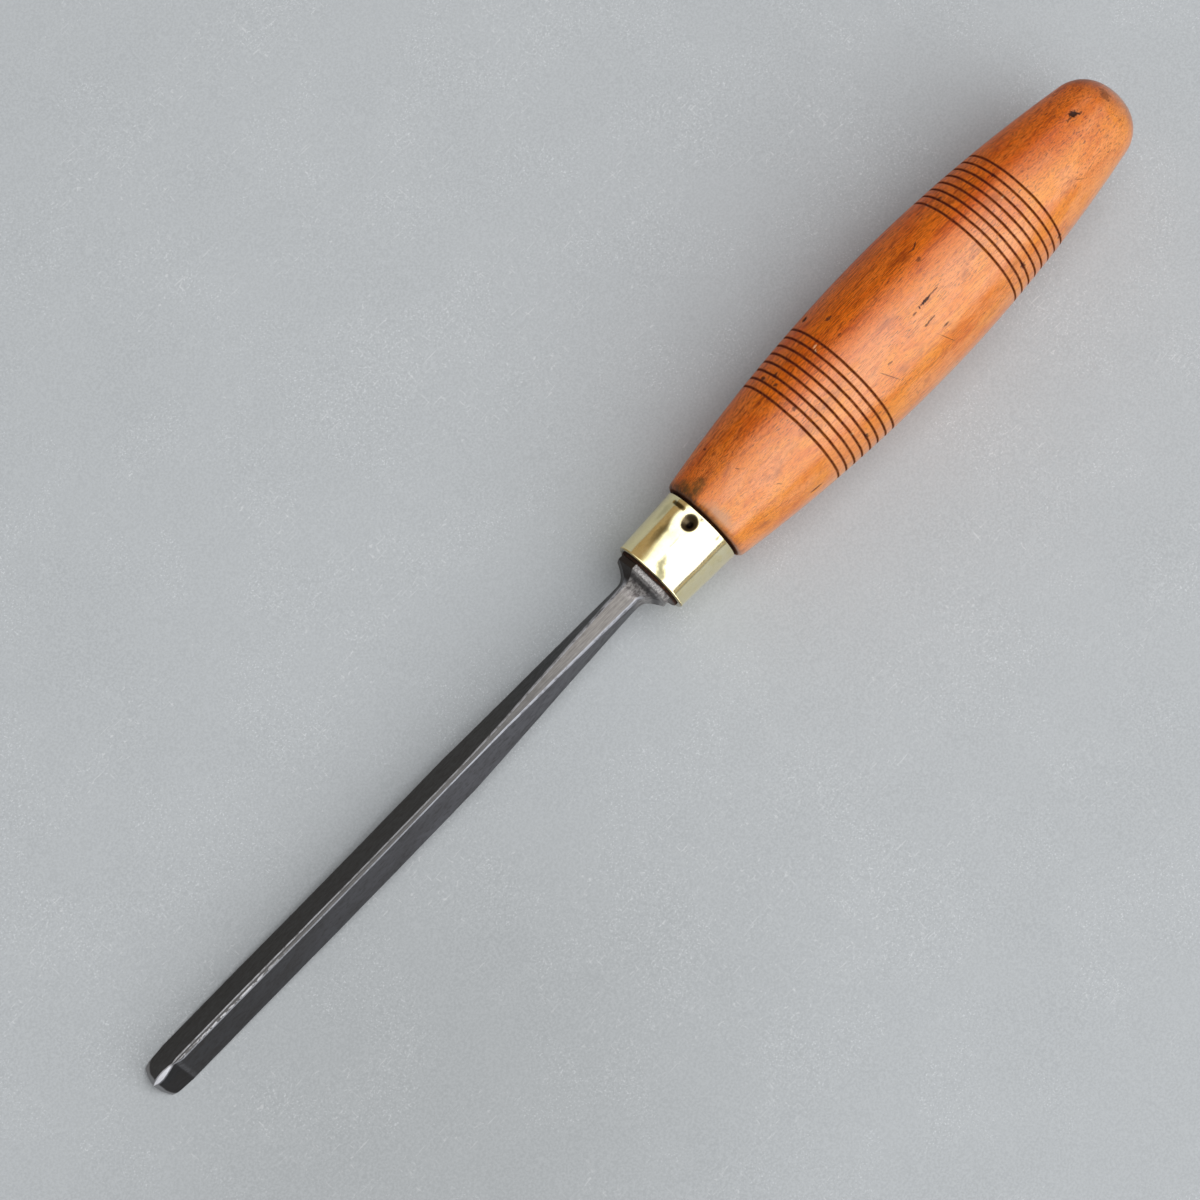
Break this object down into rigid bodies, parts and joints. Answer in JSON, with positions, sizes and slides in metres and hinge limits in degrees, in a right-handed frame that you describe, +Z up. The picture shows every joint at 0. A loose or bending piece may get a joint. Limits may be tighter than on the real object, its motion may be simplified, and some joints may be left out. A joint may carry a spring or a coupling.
{
  "type": "carving v-tool",
  "caption": "Straight wood-carving V-tool: forged V-section blade with bolster and tang, tapered brass ferrule, turned barrel-shaped wooden handle with burnt rings.",
  "frame": {"origin": "on the table the tool lies on, under the middle of its length", "axes": "+X from the cutting edge to the butt, +Z up from the table, with the keel of the V up; +Y across the tool"},
  "size_m": [0.26, 0.0278, 0.0287],
  "materials": {
    "steel": "dark patinated forged steel, brighter along its ground edges",
    "brass": "polished, with fine scratches and a little tarnish",
    "wood": "varnished orange-brown beech with dark flecks and burnt rings"
  },
  "bodies": {
    "root": {"blade": "steel", "ferrule": "brass", "handle": "wood"}
  },
  "joints": []
}
